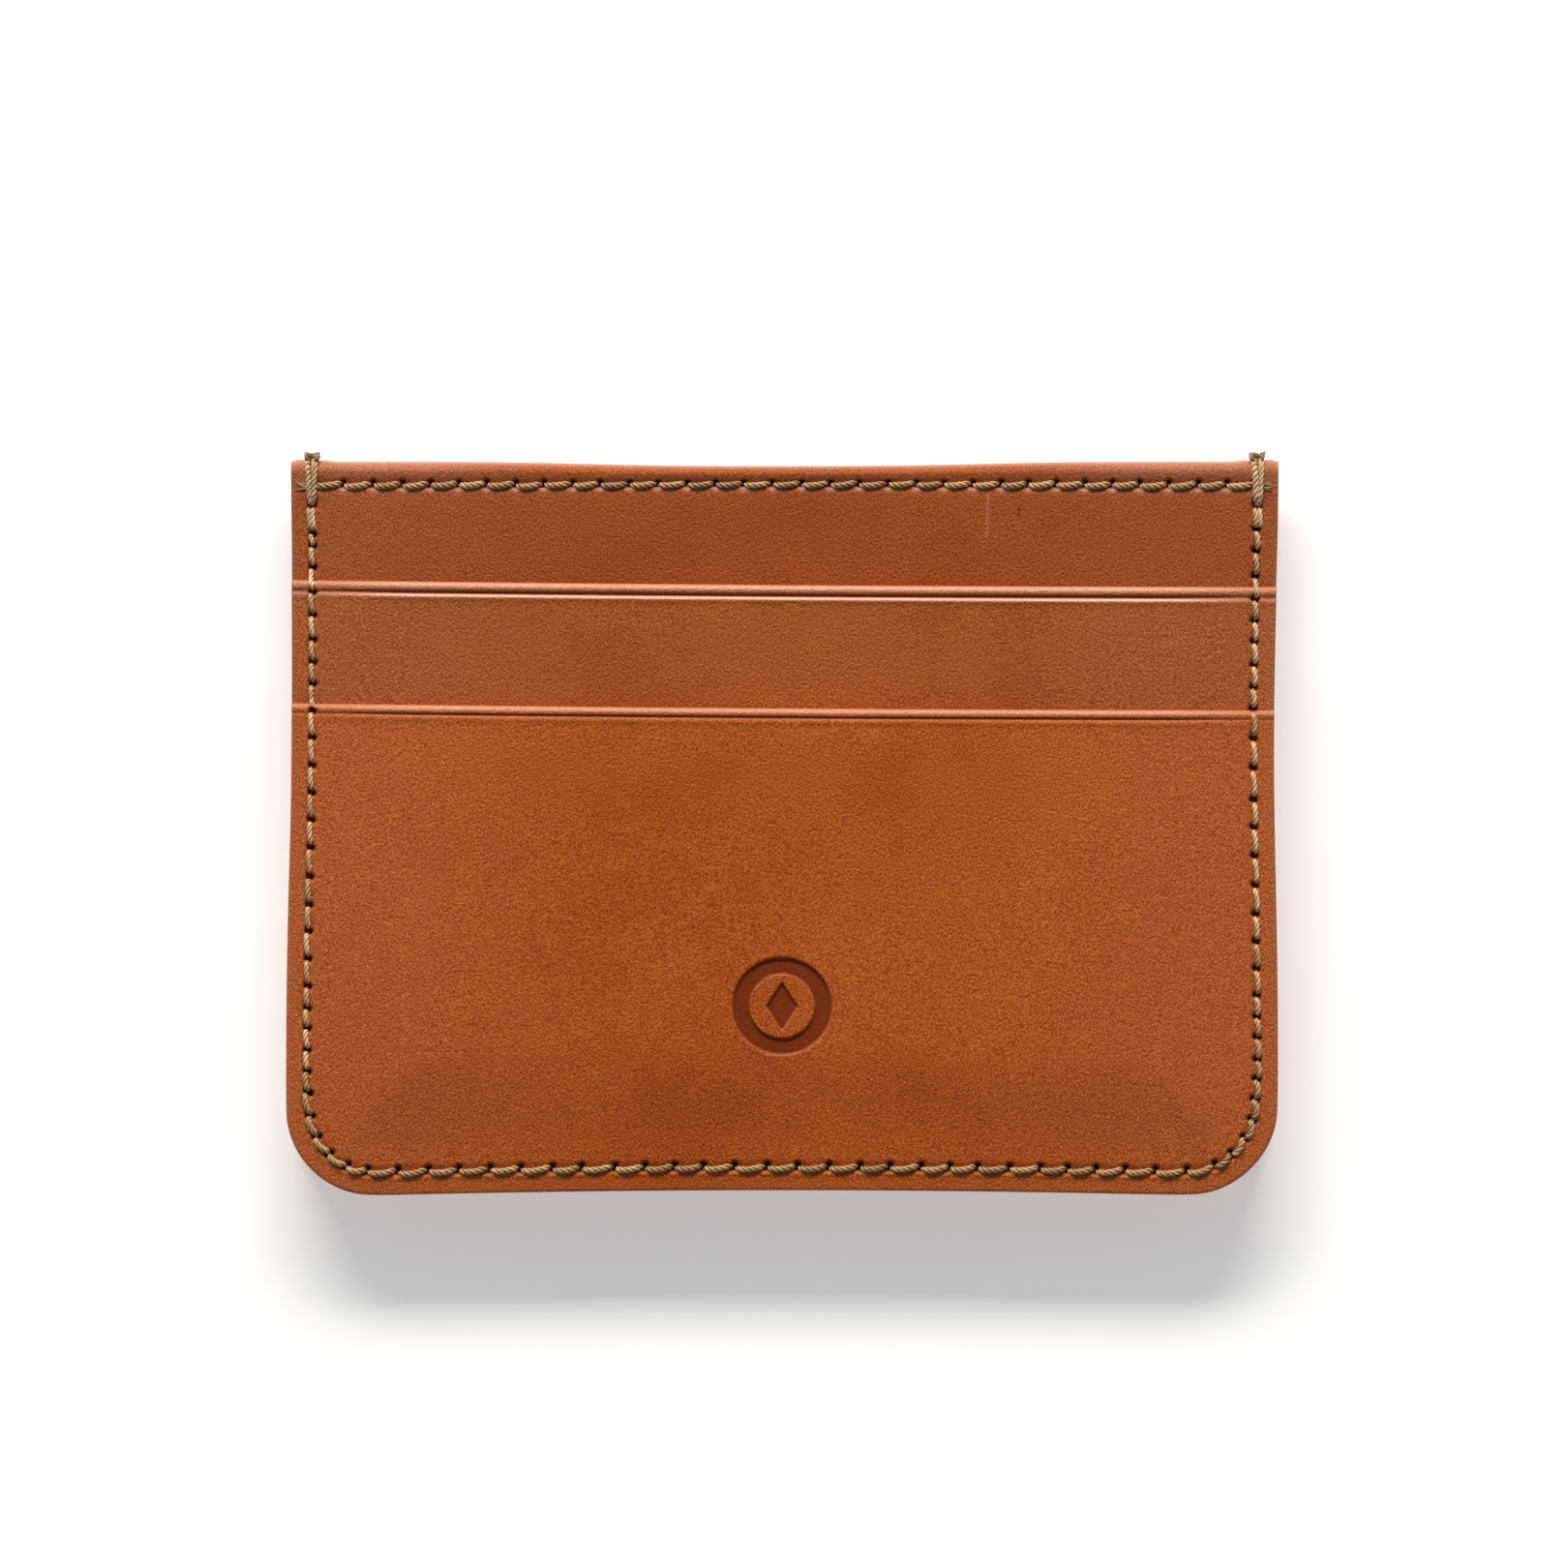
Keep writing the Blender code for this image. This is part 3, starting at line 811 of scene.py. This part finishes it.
def hem_stitches(side, sheets):
    """The hem row of one face, with its frayed thread ends at the two side edges."""
    random = np.random.default_rng(17 if side == FRONT else 18)
    hem = ThreadMesh()
    row = sheets[0].hem
    sewing = Sewing(THREAD_RADIUS * 0.86, 0.21, 0.8, 0.03, 0.0)
    for start, end in zip(row[:-1], row[1:]):
        stitch(hem, hem_line, start, end, sewing, sheets, random)
    for edge in (LEFT, RIGHT):
        for _ in range(26):
            spread, tip = random.uniform(-0.3, 0.3), random.uniform(-0.65, 0.65)
            reach = random.uniform(1.0, 2.15)
            x = TACK_X - 0.15 + reach * np.array([0, 0.35, 0.7, 1.0])
            y = HEM_ROW - 0.1 + np.array([spread, spread, (spread + tip) / 2, tip])
            z = sheets[0].level - 0.06 + np.array([0.0, 0.12, 0.06, 0.0]) + random.uniform(-0.05, 0.12)
            over_edge = 0.12 * np.clip((x - HALF_WIDTH + 0.3) / 0.3, 0, 1)
            points = np.c_[edge * x, y, z - over_edge]
            fibre(hem, points, random.uniform(0.05, 0.085), random.uniform(-0.5, 0.1))
    return hem


HIDDEN_THREAD_RADIUS = 0.2


def hidden_row(reach, row_y, height, pitch, seed):
    """A row of stitches that hardly shows, in a straight line at a fixed height."""
    random = np.random.default_rng(seed)
    mesh = ThreadMesh(sides=5)
    holes = even_row(reach, pitch, seed)
    for start, end in zip(holes[:-1], holes[1:]):
        along = start + (end - start) * np.array([0.04, 0.2, 0.5, 0.8, 0.96])
        lift = np.array([-0.12, 0.0, 0.02, 0.0, -0.12])
        path = smooth_path(np.c_[along, np.full(5, row_y), height + lift], 9)
        mesh.twisted(path, HIDDEN_THREAD_RADIUS, random.uniform(0, 6), random.uniform(-0.2, 0.2))
    return mesh


def tack_bars(mesh, edge, level, random):
    """Two turns of thread, up the front, over the top edge and down the back."""
    drop = TACK_ENDS[edge][0]
    down = np.array([drop - 0.05, drop - 0.2, drop - 0.7, 2.9, 1.7, 0.7, 0.15])
    lift = np.array([-0.9, -0.2, 0.12, 0.2, 0.24, 0.14, -0.12])
    spread = np.array([0.45, 0.6, 0.9, 1.0, 1.0, 1.15, 1.2])
    for strand, lean in ((-0.27, 0.16), (0.25, -0.12)):
        x = edge * TACK_X + strand * spread + lean * down / drop - lean / 2
        front = np.c_[x, TOP - down, level + lift]
        crest = [[strand, 0.4, level - 0.75], [strand * 0.9, 0.5, 0.0], [strand, 0.4, 0.75 - level]]
        crest = np.array(crest) + np.array([edge * TACK_X, TOP, 0])
        back = front[::-1] * np.array([1, 1, -1])
        path = smooth_path(np.concatenate([front, crest, back]), 90)
        phase = random.uniform(0, 6)
        # Painted highlight: the tack's strands get a lifted tone
        mesh.twisted(path, THREAD_RADIUS * 0.78, phase, 0.35 + random.uniform(-0.2, 0.2))


def tack_strands(edge, sheets):
    """The bar tack that binds a top corner, with a fuzzy knot on the edge."""
    random = np.random.default_rng(40 + edge)
    mesh = ThreadMesh()
    tack_bars(mesh, edge, sheets[0].level, random)
    knot = np.array([
        [-0.55, 0.1, 1.45], [-0.6, 0.45, 1.15], [-0.3, 0.8, 0.8],
        [0.15, 0.85, 0.7], [0.5, 0.6, 1.0], [0.45, 0.2, 1.4],
    ])
    path = smooth_path(knot * np.array([edge, 1, 1]) + np.array([edge * TACK_X, TOP, 0]), 24)
    # Painted shade: the knot on the top edge and its loose fibres are given dark tones
    mesh.twisted(path, THREAD_RADIUS * 0.68, 1.0, -0.75)
    for _ in range(44):
        angle = random.uniform(0, 2 * math.pi)
        root = np.array([edge * TACK_X + random.uniform(-0.4, 0.5), TOP + 0.55, random.uniform(-0.5, 1.1)])
        step = np.array([0.5 * math.cos(angle), random.uniform(0.05, 0.32), 0.4 * math.sin(angle)])
        curl = random.uniform(-0.2, 0.2, 3)
        points = [root, root + step * 0.4 + curl * 0.3, root + step * 0.8 + curl, root + step]
        fibre(mesh, points, random.uniform(0.045, 0.08), random.uniform(-0.9, -0.2))
    return mesh


# ------------------------ materials


def node(tree, kind, **inputs):
    """A new node with these values on its sockets."""
    item = tree.nodes.new(kind)
    for key, value in inputs.items():
        item.inputs[key.replace("_", " ")].default_value = value
    return item


def link(tree, source, target):
    tree.links.new(source, target)


def math_node(tree, operation, first, second):
    """The result of a sum on two values or sockets."""
    item = tree.nodes.new("ShaderNodeMath")
    item.operation = operation
    for index, value in enumerate((first, second)):
        if isinstance(value, (int, float)):
            item.inputs[index].default_value = value
        else:
            link(tree, value, item.inputs[index])
    return item.outputs[0]


def share(tree, source, amount):
    """A part of a value."""
    return math_node(tree, "MULTIPLY", source, amount)


def mix_colour(tree, factor, first, second, blend="MIX"):
    """From the first colour to the second as the factor goes from 0 to 1."""
    item = tree.nodes.new("ShaderNodeMix")
    item.data_type = "RGBA"
    item.blend_type = blend
    for socket, value in ((item.inputs[0], factor), (item.inputs[6], first), (item.inputs[7], second)):
        if isinstance(value, (int, float)):
            socket.default_value = value
        elif isinstance(value, tuple):
            socket.default_value = (*value, 1.0)
        else:
            link(tree, value, socket)
    return item.outputs[2]


def ramp(tree, source, low, high):
    """From 0 to 1 while the source goes from low to high."""
    item = tree.nodes.new("ShaderNodeMapRange")
    item.inputs["From Min"].default_value = low
    item.inputs["From Max"].default_value = high
    link(tree, source, item.inputs["Value"])
    return item.outputs[0]


def new_material(name, **inputs):
    """A material with these values on its shader's sockets."""
    material = bpy.data.materials.new(name)
    material.use_nodes = True
    tree = material.node_tree
    shader = tree.nodes["Principled BSDF"]
    for key, value in inputs.items():
        shader.inputs[key.replace("_", " ")].default_value = value
    return material, tree, shader


def object_mm(tree, scale=(1.0, 1.0, 1.0)):
    """The point in the model's frame, in millimetres, times scale."""
    coords = tree.nodes.new("ShaderNodeTexCoord")
    mapping = tree.nodes.new("ShaderNodeMapping")
    mapping.inputs["Scale"].default_value = tuple(value / MM for value in scale)
    link(tree, coords.outputs["Object"], mapping.inputs["Vector"])
    return mapping.outputs[0]


def add_bump(tree, shader, height, strength, distance):
    """Small relief of the surface; distance is in metres."""
    item = node(tree, "ShaderNodeBump", Strength=strength, Distance=distance)
    link(tree, height, item.inputs["Height"])
    link(tree, item.outputs[0], shader.inputs["Normal"])


def attribute(tree, name):
    """A mask of the mesh."""
    item = tree.nodes.new("ShaderNodeAttribute")
    item.attribute_name = name
    return item.outputs["Fac"]


def noise(tree, vector, scale, detail, roughness=0.55):
    item = node(tree, "ShaderNodeTexNoise", Scale=scale, Detail=detail, Roughness=roughness)
    link(tree, vector, item.inputs["Vector"])
    return item.outputs["Fac"]


def leather_material(name, light_tint):
    """Vegetable-tanned leather; each piece's colour is scaled by its own factors, painted light that makes
    the outer, lower pieces brighter.
    """
    material, tree, shader = new_material(name, Specular_IOR_Level=0.26)
    point = object_mm(tree)
    separate = tree.nodes.new("ShaderNodeSeparateXYZ")
    link(tree, point, separate.inputs[0])
    from_middle = math_node(tree, "ABSOLUTE", separate.outputs["X"], 0.0)
    cloud = ramp(tree, noise(tree, point, 0.06, 3.0), 0.35, 0.65)
    blotch = ramp(tree, noise(tree, point, 0.3, 3.0), 0.35, 0.65)
    grain_point = object_mm(tree, (1.0, 0.75, 1.0))
    speckle = noise(tree, grain_point, 6.2, 2.0, 0.7)
    fine = ramp(tree, speckle, 0.33, 0.67)

    def lit_tinted(*colour):
        return tuple(part * amount for part, amount in zip(colour, light_tint))

    # The dye: deep to light clouds, darker blotches, a painted sheen that makes it duller and pinker near
    # the sides, and the grain, whose pale speckles are partly painted glints
    colour = mix_colour(tree, cloud, lit_tinted(0.34, 0.062, 0.0035), lit_tinted(0.39, 0.079, 0.007))
    colour = mix_colour(tree, share(tree, blotch, 0.14), colour, (0.28, 0.046, 0.002))
    side_sheen = share(tree, ramp(tree, from_middle, 18, 52), 0.85)
    colour = mix_colour(tree, side_sheen, colour, lit_tinted(0.385, 0.088, 0.017))
    dark = mix_colour(tree, 1.0, colour, (0.62, 0.37, 0.14), "MULTIPLY")
    # The pale speckles are partly the grain's own colour and partly painted glints, close to neutral
    pale = mix_colour(tree, 1.0, colour, (1.41, 1.81, 3.15), "MULTIPLY")
    colour = mix_colour(tree, fine, dark, pale)

    # Rubbed pale with painted highlights on beads, lips and the hem, palest painted highlights, pressed dark
    # with painted shade in the crease lines, stained at the edge, and painted shade inside the stitch holes
    rubbed_and_lit = math_node(tree, "MINIMUM", share(tree, attribute(tree, "wear_and_painted_light"), 0.85), 0.85)
    colour = mix_colour(tree, rubbed_and_lit, colour, (0.78, 0.4, 0.27))
    # Painted highlight: where the mask runs above 1 the leather goes palest pink
    palest_highlight = share(tree, ramp(tree, attribute(tree, "wear_and_painted_light"), 0.95, 1.4), 0.8)
    colour = mix_colour(tree, palest_highlight, colour, (0.95, 0.62, 0.5))
    # Pressed dark on the mark's floor and in the nick; in the crease lines this darkening is also painted
    # shade
    press_shade_amount = share(tree, attribute(tree, "pressed_and_shaded"), 0.85)
    colour = mix_colour(tree, press_shade_amount, colour, (0.17, 0.021, 0.002))
    stained = share(tree, attribute(tree, "edge"), 0.35)
    colour = mix_colour(tree, stained, colour, (0.2, 0.05, 0.012))
    # Painted shade: inside the stitch holes the colour goes almost black
    colour = mix_colour(tree, attribute(tree, "hole"), colour, (0.012, 0.006, 0.003))
    link(tree, colour, shader.inputs["Base Color"])

    pebble = node(tree, "ShaderNodeTexVoronoi", Scale=4.2, Randomness=1.0)
    pebble.feature = "SMOOTH_F1"
    pebble.inputs["Smoothness"].default_value = 0.5
    link(tree, grain_point, pebble.inputs["Vector"])
    height = math_node(tree, "SUBTRACT", share(tree, speckle, 1.6), pebble.outputs["Distance"])
    worn = math_node(tree, "SUBTRACT", 1.0, share(tree, attribute(tree, "pressed_and_shaded"), 0.5))
    add_bump(tree, shader, math_node(tree, "MULTIPLY", height, worn), 0.6, 0.0001)

    roughness = math_node(tree, "ADD", 0.4, share(tree, speckle, 0.16))
    polish = share(tree, rubbed_and_lit, 0.26)
    link(tree, math_node(tree, "SUBTRACT", roughness, polish), shader.inputs["Roughness"])
    return material


def thread_material():
    """Waxed thread, with painted shade in the grooves between its plies and painted glints on their crests.
    """
    material, tree, shader = new_material("waxed_thread", Roughness=0.36, Specular_IOR_Level=0.6)
    point = object_mm(tree)
    fibres = ramp(tree, noise(tree, point, 9.0, 2.0), 0.3, 0.7)
    colour = mix_colour(tree, fibres, (0.385, 0.226, 0.09), (0.81, 0.55, 0.3))
    tone = math_node(tree, "ADD", 0.5, attribute(tree, "tone"))
    # Painted shade: low tones, in the ply grooves and on darkened strands, turn the thread a dull brown
    darker = mix_colour(tree, 1.0, colour, (0.42, 0.37, 0.27), "MULTIPLY")
    colour = mix_colour(tree, tone, darker, colour)
    # Painted highlight: the highest tones go a pale cream glint
    glint = share(tree, ramp(tree, tone, 0.85, 1.4), 0.8)
    colour = mix_colour(tree, glint, colour, (0.98, 0.75, 0.48))
    link(tree, colour, shader.inputs["Base Color"])
    add_bump(tree, shader, noise(tree, point, 12.0, 2.0), 0.6, 0.00005)
    return material


def lining_material():
    """Dark brown cloth with a fine diagonal weave."""
    material, tree, shader = new_material("lining_cloth", Roughness=0.9)
    point = object_mm(tree)
    wave = node(tree, "ShaderNodeTexWave", Scale=0.55, Distortion=0.4)
    wave.bands_direction = "DIAGONAL"
    link(tree, point, wave.inputs["Vector"])
    colour = mix_colour(tree, wave.outputs["Fac"], (0.1, 0.055, 0.03), (0.16, 0.092, 0.052))
    link(tree, colour, shader.inputs["Base Color"])
    add_bump(tree, shader, wave.outputs["Fac"], 0.5, 0.00006)
    return material


# ------------------------ the holder


def half_sheets(side):
    """The three leathers of a half, innermost first."""
    seed = 100 if side == FRONT else 200
    panel = Leather(side, PANEL_FACE + 0.03, PANEL_BACK, 0.0, TOP, UPPER_MOUTH, seed)
    panel.hemmed = True
    upper = Leather(
        side, UPPER_FACE + 0.02, UPPER_BACK - CLOSE_UP, UPPER_RISE * 0.9, UPPER_MOUTH, LOWER_MOUTH, seed + 1,
    )
    upper.crease = (1.1, 0.25, 0.18)
    upper.bead_wear_and_highlight, upper.lip_highlight = 1.0, 1.4
    lower = Leather(side, LOWER_FACE, LOWER_BACK - CLOSE_UP, LOWER_RISE, LOWER_MOUTH, BOTTOM, seed + 2)
    lower.crease = (0.97, 0.16, 0.13)
    lower.bead_wear_and_highlight, lower.lip_highlight = 0.7, 0.0
    lower.rim = 0.32
    lower.taper = 0.24
    lower.mark = side == FRONT
    if side == FRONT:
        panel.scratches = PANEL_SCRATCHES
        lower.scratches = LOWER_SCRATCHES
    return panel, upper, lower


def make_lining(name, side, material):
    """A thin cloth behind the inner panel, its top edge just under the hem."""
    top = lining_high[1]
    spacing = 2.0
    run = np.arange(side_run(top), 0, -spacing)
    rim = np.c_[seam_point(np.concatenate([-run, [0.0], run[::-1]]), LINING_INSET)]
    top_x = np.arange(HALF_WIDTH - spacing, -HALF_WIDTH + 0.1, -spacing)
    loop = np.concatenate([rim, at_height(top_x, top)])
    rows = []
    for y in np.arange(BOTTOM + 1.2, top - 0.8, spacing):
        row = at_height(np.arange(-HALF_WIDTH + 1, HALF_WIDTH - 0.9, spacing), y)
        rows.append(row[seam_coords(*row.T)[1] > LINING_INSET + 0.8])
    face = triangulate(loop, np.concatenate(rows))
    _, d = seam_coords(*face[0].T)
    inner = MEETING + (LINING_BACK - MEETING) * smoothstep((d - 2.5) / 4)
    outer = np.full(len(d), LINING_BACK + LINING_THICKNESS)
    verts, faces = closed_shell(face, outer, face, inner)
    item = make_object(name, verts, faces, side, material)
    attach(item, "lining", name.replace("_cloth", ""))
    return item


# Painted light: how much redder, greener and bluer each leather is made, brighter on the outer, lower pieces
# that the light falls on more strongly, innermost first
PAINTED_LIGHT_TINTS = {
    "inner_panel": (1.0, 1.0, 1.0),
    "upper_pocket": (1.12, 1.27, 1.4),
    "lower_pocket": (1.29, 1.3, 1.12),
}


def make_half(side, leathers, thread, cloth):
    """The leathers, the lining and the threads of one half."""
    prefix = "front_" if side == FRONT else "rear_"
    sheets = half_sheets(side)
    for sheet, part, leather in zip(sheets, PAINTED_LIGHT_TINTS, leathers):
        attach(make_sheet(prefix + part + "_leather", sheet, leather), "leather", prefix + part)
    make_lining(prefix + "lining_cloth", side, cloth)

    seed = 60 + side
    base_height = UPPER_FACE + UPPER_RISE - 0.12
    under_height = PANEL_BACK + 0.15
    runs = (
        ("perimeter", perimeter_stitches(side, sheets)),
        ("hem", hem_stitches(side, sheets)),
        ("hem_bobbin", hidden_row(HEM_REACH, HEM_ROW, 0.4, HEM_PITCH, seed)),
        ("pocket_base", hidden_row(BASE_REACH, BASE_ROW, base_height, BASE_PITCH, seed + 10)),
        ("pocket_base_bobbin", hidden_row(BASE_REACH, BASE_ROW, under_height, BASE_PITCH, seed + 20)),
    )
    for name, run in runs:
        cad_node = "perimeter_thread_" + prefix[:-1] if name == "perimeter" else prefix + name + "_thread"
        attach(run.build(prefix + name + "_stitches", side, thread), "thread", cad_node)
    return sheets


# ------------------------ floor, light and camera


FLOOR_REACH = 3.0


def make_stage():
    """A pale floor under the holder."""
    mesh = bpy.data.meshes.new("floor")
    corners = [(-1, -1), (1, -1), (1, 1), (-1, 1)]
    mesh.from_pydata([(x * FLOOR_REACH, y * FLOOR_REACH, 0) for x, y in corners], [], [(0, 1, 2, 3)])
    floor = bpy.data.objects.new("floor", mesh)
    bpy.context.scene.collection.objects.link(floor)
    floor.location.z = -0.0002
    paint = new_material(
        "floor_paint", Base_Color=(0.95, 0.95, 0.95, 1), Roughness=0.9,
        Emission_Color=(1, 1, 1, 1), Emission_Strength=0.35,
    )
    mesh.materials.append(paint[0])


LAMP_COLOUR = (1.0, 0.955, 0.88)


def make_light(name, location, aim, size, power):
    """A rectangular lamp that points at aim."""
    data = bpy.data.lights.new(name, "AREA")
    data.shape = "RECTANGLE"
    data.size, data.size_y = size
    data.energy = power
    data.color = LAMP_COLOUR
    lamp = bpy.data.objects.new(name, data)
    bpy.context.scene.collection.objects.link(lamp)
    lamp.location = location
    direction = Vector(aim) - Vector(location)
    lamp.rotation_mode = "QUATERNION"
    lamp.rotation_quaternion = direction.to_track_quat("-Z", "Y")


# The width in view at the front face, and the point of the holder in the middle of it, in metres
VIEW_WIDTH = 0.1579
AIM = (0.0002, 0.00405)
LENS, SENSOR = 200.0, 36.0


def make_camera():
    """A long lens straight above the front face."""
    data = bpy.data.cameras.new("camera")
    data.lens, data.sensor_width = LENS, SENSOR
    camera = bpy.data.objects.new("camera", data)
    bpy.context.scene.collection.objects.link(camera)
    camera.location = (*AIM, VIEW_WIDTH * LENS / SENSOR + LOWER_FACE * MM + MID * MM)
    data.clip_start, data.clip_end = 0.01, 20
    bpy.context.scene.camera = camera


def make_lighting():
    """A dome that is brightest near the horizon, and one long soft light beyond the top edge."""
    world = bpy.data.worlds.new("studio")
    bpy.context.scene.world = world
    world.use_nodes = True
    tree = world.node_tree
    background = tree.nodes["Background"]
    background.inputs["Color"].default_value = (1, 1, 1, 1)
    direction = tree.nodes.new("ShaderNodeTexCoord")
    parts = tree.nodes.new("ShaderNodeSeparateXYZ")
    link(tree, direction.outputs["Generated"], parts.inputs[0])
    height = ramp(tree, parts.outputs["Z"], 0.25, 0.95)
    strength = math_node(tree, "SUBTRACT", 0.5, math_node(tree, "MULTIPLY", height, 0.47))
    link(tree, strength, background.inputs["Strength"])
    make_light("key", (-0.1, 1.25, 0.66), (0, 0, 0), (1.2, 0.26), 28.0)
    bpy.context.scene.view_settings.view_transform = "Standard"


make_camera()
make_lighting()
make_stage()
leathers = [leather_material("tan_leather_" + name, light_tint) for name, light_tint in PAINTED_LIGHT_TINTS.items()]
thread = thread_material()
cloth = lining_material()
for side in (FRONT, REAR):
    sheets = make_half(side, leathers, thread, cloth)
for edge, node_name in ((LEFT, "left_edge_tack"), (RIGHT, "right_edge_tack")):
    strands = tack_strands(edge, sheets).build(node_name + "_strands", FRONT, thread)
    attach(strands, "thread", node_name)
